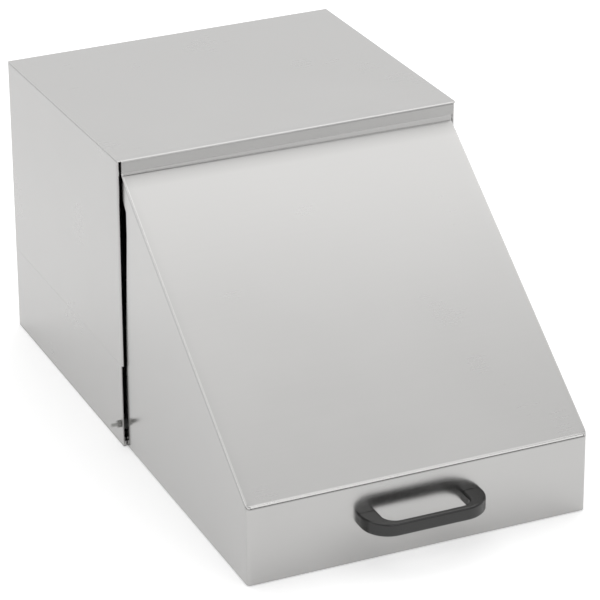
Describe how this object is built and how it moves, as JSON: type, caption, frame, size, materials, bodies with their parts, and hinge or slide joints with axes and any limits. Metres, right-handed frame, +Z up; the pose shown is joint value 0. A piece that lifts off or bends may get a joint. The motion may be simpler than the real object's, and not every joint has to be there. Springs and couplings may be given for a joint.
{
  "type": "book drop box",
  "caption": "Stainless steel book drop with a lift-up sloping hood, a black bow handle and a lockable emptying door at the back.",
  "frame": {"origin": "on the base, in the middle of the seam between the hood and the housing", "axes": "+X to the right seen from the front, +Y to the back, +Z up"},
  "size_m": [0.424, 0.728, 0.3469],
  "materials": {
    "stainless_sheet": "brushed",
    "stainless_hood": "brushed, ground welds",
    "stainless_inner": "mill finish",
    "hinge_steel": "satin",
    "rivet_steel": "satin",
    "bolt_steel": "turned",
    "nut_steel": "dull",
    "lock_chrome": "polished",
    "black_rubber": "matt",
    "black_nylon": "moulded",
    "handle_black": "satin moulded"
  },
  "bodies": {
    "housing": {"base_pan": "stainless_sheet", "left_side_panel": "stainless_sheet", "right_side_panel": "stainless_sheet", "top_cover": "stainless_sheet", "rear_panel": "stainless_sheet", "chute_plate": "stainless_inner", "chute_rivets": "rivet_steel", "left_pivot_bolt": "bolt_steel", "right_pivot_bolt": "bolt_steel", "pivot_nuts": "nut_steel", "rest_bumpers": "black_rubber", "stop_brackets": "stainless_inner", "stop_pads": "black_rubber", "hinge_fixed_leaf": "hinge_steel", "hinge_pin": "bolt_steel", "hinge_rivets": "rivet_steel"},
    "hood": {"hood_shell": "stainless_hood", "hood_slope": "stainless_hood", "hood_stop_angle": "stainless_inner", "left_pivot_lug": "stainless_inner", "right_pivot_lug": "stainless_inner", "pivot_bushes": "black_nylon", "handle": "handle_black", "handle_washers": "bolt_steel", "handle_screws": "bolt_steel"},
    "rear_door": {"door_panel": "stainless_sheet", "hinge_door_leaf": "hinge_steel", "lock_barrel": "lock_chrome", "lock_nut": "nut_steel"},
    "lock_core": {"lock_plug": "lock_chrome", "lock_cam": "nut_steel", "cam_screw": "bolt_steel"}
  },
  "joints": [
    {"name": "hood_lift", "type": "hinge", "parent": "housing", "child": "hood", "pos_m": [0, 0.018, 0.025], "axis": [-1, 0, 0], "range_deg": [0, 60]},
    {"name": "door_swing", "type": "hinge", "parent": "housing", "child": "rear_door", "pos_m": [-0.1765, 0.3524, 0.166], "axis": [0, 0, 1], "range_deg": [0, 105]},
    {"name": "lock_turn", "type": "hinge", "parent": "rear_door", "child": "lock_core", "pos_m": [0.15, 0.352, 0.166], "axis": [0, -1, 0], "range_deg": [0, 90]}
  ]
}
